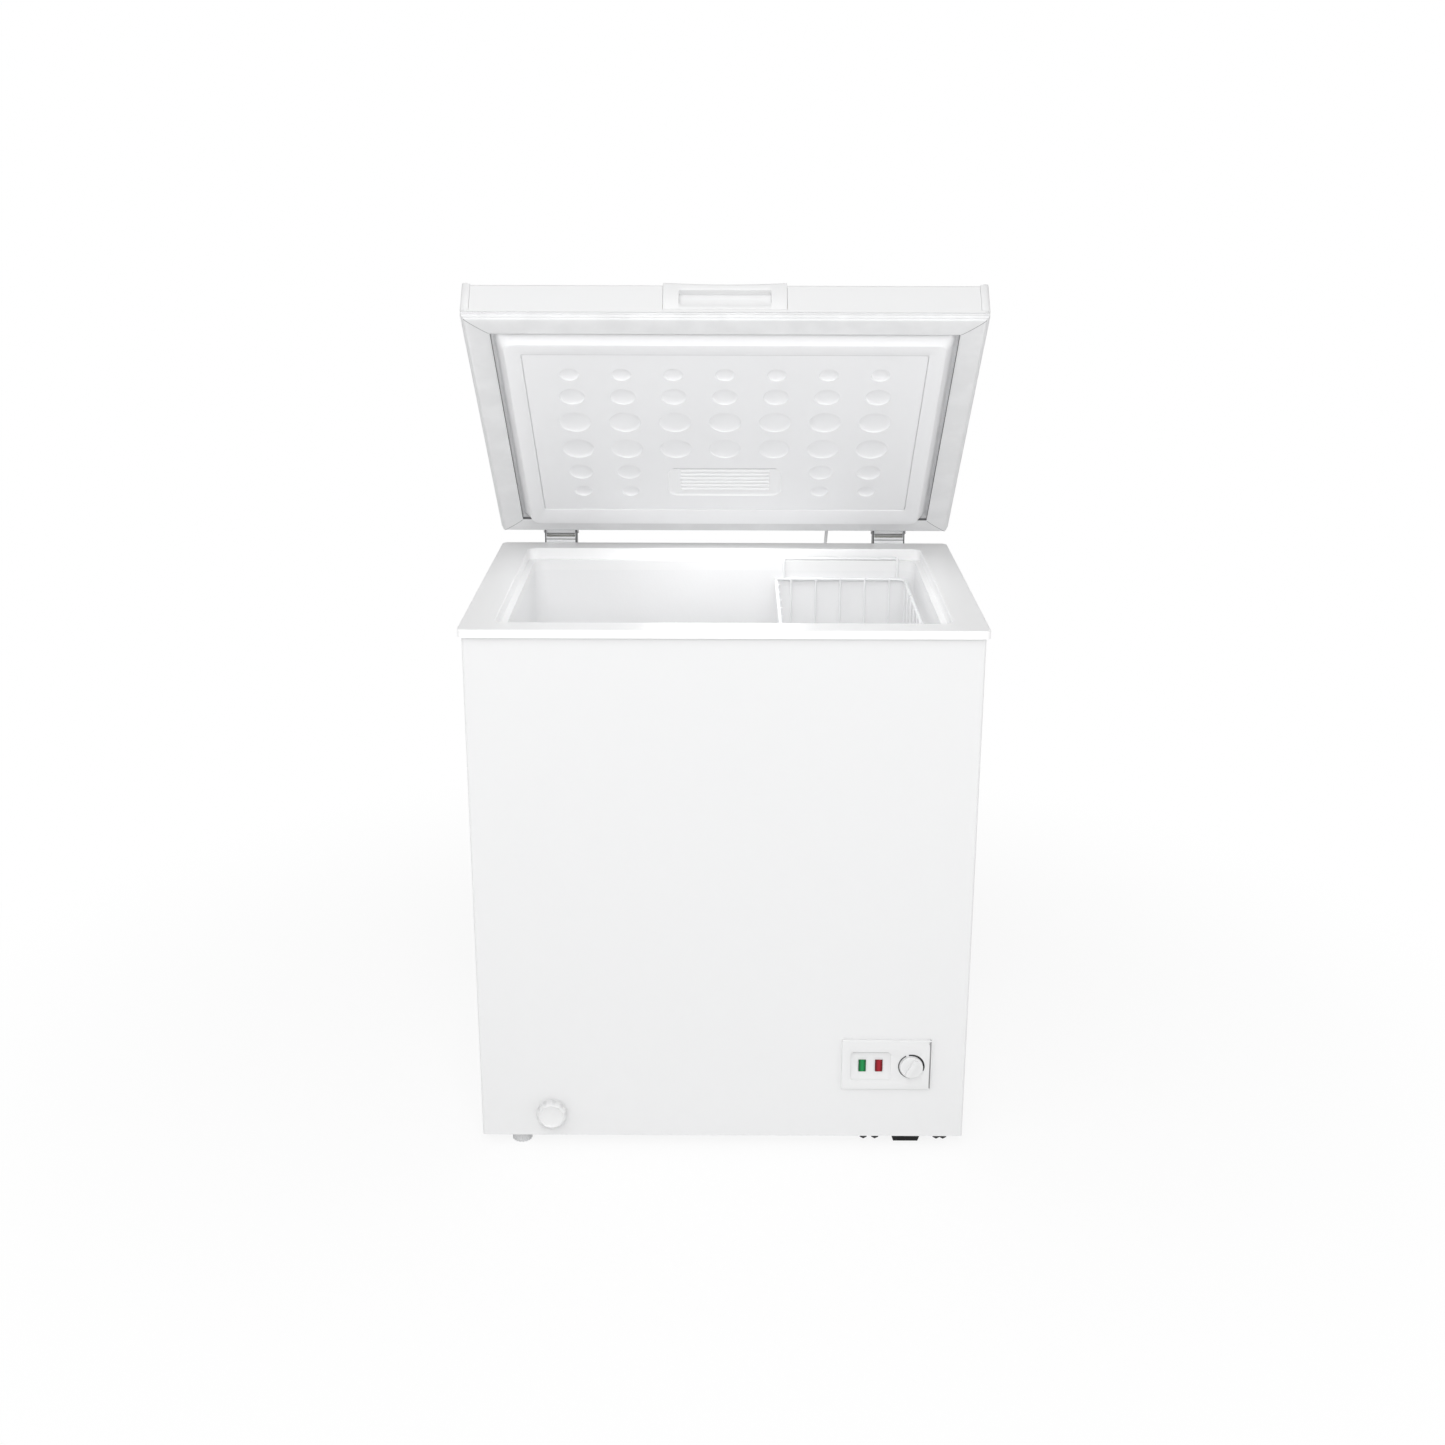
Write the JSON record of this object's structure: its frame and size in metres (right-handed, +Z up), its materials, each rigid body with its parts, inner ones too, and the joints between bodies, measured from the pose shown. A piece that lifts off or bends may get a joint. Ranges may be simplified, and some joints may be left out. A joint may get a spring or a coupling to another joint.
{
  "type": "chest freezer",
  "caption": "White chest freezer with a propped hinged lid, insulated tank, hanging wire basket, front thermostat panel, drain and a compressor bay at the rear.",
  "frame": {"origin": "on the floor, at mid width, and at mid depth of the freezer with its lid propped open", "axes": "+X to the right seen from the front, +Y to the back, +Z up"},
  "size_m": [0.715, 0.5756, 1.226],
  "materials": {
    "white_steel": "smooth satin enamel",
    "rear_steel": "satin enamel",
    "zinc_steel": "galvanised",
    "liner_white": "fine embossed coat",
    "white_plastic": "smooth moulded",
    "panel_plastic": "vacuum formed, slight gloss",
    "gasket_grey": "soft matt",
    "lens_clear": "translucent, ribbed",
    "lamp_glass": "frosted",
    "holder_plastic": "moulded",
    "foam": "rigid blown foam",
    "tube_aluminium": "drawn tube",
    "tube_copper": "drawn tube",
    "tube_steel": "plated tube",
    "black_steel": "gloss enamel",
    "black_plastic": "moulded",
    "mount_rubber": "moulded",
    "grey_plastic": "ribbed moulding",
    "bright_steel": "zinc plated",
    "dark_steel": "black plated",
    "hinge_steel": "grey powder coat",
    "plunger_plastic": "acetal",
    "green_lens": "tinted lens",
    "red_lens": "tinted lens",
    "thermostat_case": "plated case",
    "knob_plastic": "smooth moulded",
    "drain_white": "smooth moulded",
    "cord_white": "soft sheath",
    "basket_coat": "plastic coated wire"
  },
  "bodies": {
    "cabinet": {"base_panel": "zinc_steel", "bay_divider": "zinc_steel", "cabinet_lead_grommet": "cord_white", "capillary_line": "tube_copper", "compressor": "black_steel", "compressor_bolts": "bright_steel", "compressor_grommets": "mount_rubber", "compressor_tray": "zinc_steel", "condenser_coil": "tube_steel", "control_bezel": "white_plastic", "cord_gland": "black_plastic", "discharge_line": "tube_copper", "drain_socket": "holder_plastic", "drain_tube": "holder_plastic", "evaporator_coil": "tube_aluminium", "filter_drier": "tube_copper", "green_light": "green_lens", "grille_screws": "bright_steel", "hinge_base_screws": "bright_steel", "hinge_pins": "bright_steel", "hinge_plungers": "plunger_plastic", "hinge_springs": "bright_steel", "inner_liner": "liner_white", "insulation_foam": "foam", "lamp_lead": "cord_white", "left_hinge_base": "hinge_steel", "light_sockets": "holder_plastic", "outer_wrapper": "white_steel", "rear_grille": "rear_steel", "rear_panel": "rear_steel", "red_light": "red_lens", "relay_cover": "black_plastic", "ribbed_feet": "grey_plastic", "right_hinge_base": "hinge_steel", "rim_frame": "white_plastic", "suction_line": "tube_copper", "thermostat": "thermostat_case", "tray_feet": "black_plastic", "tray_screws": "dark_steel"},
    "lid": {"lid_skin": "white_steel", "lid_inner_panel": "panel_plastic", "lid_gasket": "gasket_grey", "lamp_lens": "lens_clear", "lamp_holder": "holder_plastic", "lamp_bulb": "lamp_glass", "lid_foam": "foam", "lid_corner_caps": "white_plastic", "lid_handle": "white_plastic", "left_hinge_leaf": "hinge_steel", "right_hinge_leaf": "hinge_steel", "hinge_leaf_screws": "bright_steel", "lid_lead_grommet": "cord_white"},
    "knob": {"thermostat_knob": "knob_plastic"},
    "basket": {"wire_basket": "basket_coat"},
    "spout": {"drain_spout": "drain_white"},
    "dial": {"drain_dial": "drain_white"},
    "plug": {"drain_plug": "drain_white"}
  },
  "joints": [
    {"name": "lid_hinge", "type": "hinge", "parent": "cabinet", "child": "lid", "pos_m": [0, 0.26766, 0.808], "axis": [-1, 0, 0], "range_deg": [-45, 35], "deforming": ["lamp_lead"]},
    {"name": "knob_turn", "type": "hinge", "parent": "cabinet", "child": "knob", "pos_m": [0.273, -0.27684, 0.137], "axis": [0, 1, 0], "range_deg": [-200, 75]},
    {"name": "basket_slide", "type": "slide", "parent": "cabinet", "child": "basket", "axis": [-1, 0, 0], "range_m": [0, 0.36]},
    {"name": "spout_pull", "type": "slide", "parent": "cabinet", "child": "spout", "axis": [0, -1, 0], "range_m": [0, 0.025]},
    {"name": "dial_turn", "type": "hinge", "parent": "spout", "child": "dial", "pos_m": [-0.249, -0.28, 0.057], "axis": [0, 1, 0], "range_deg": [0, 180]},
    {"name": "plug_lift", "type": "slide", "parent": "cabinet", "child": "plug", "axis": [0, 0, 1], "range_m": [0, 0.04]}
  ]
}
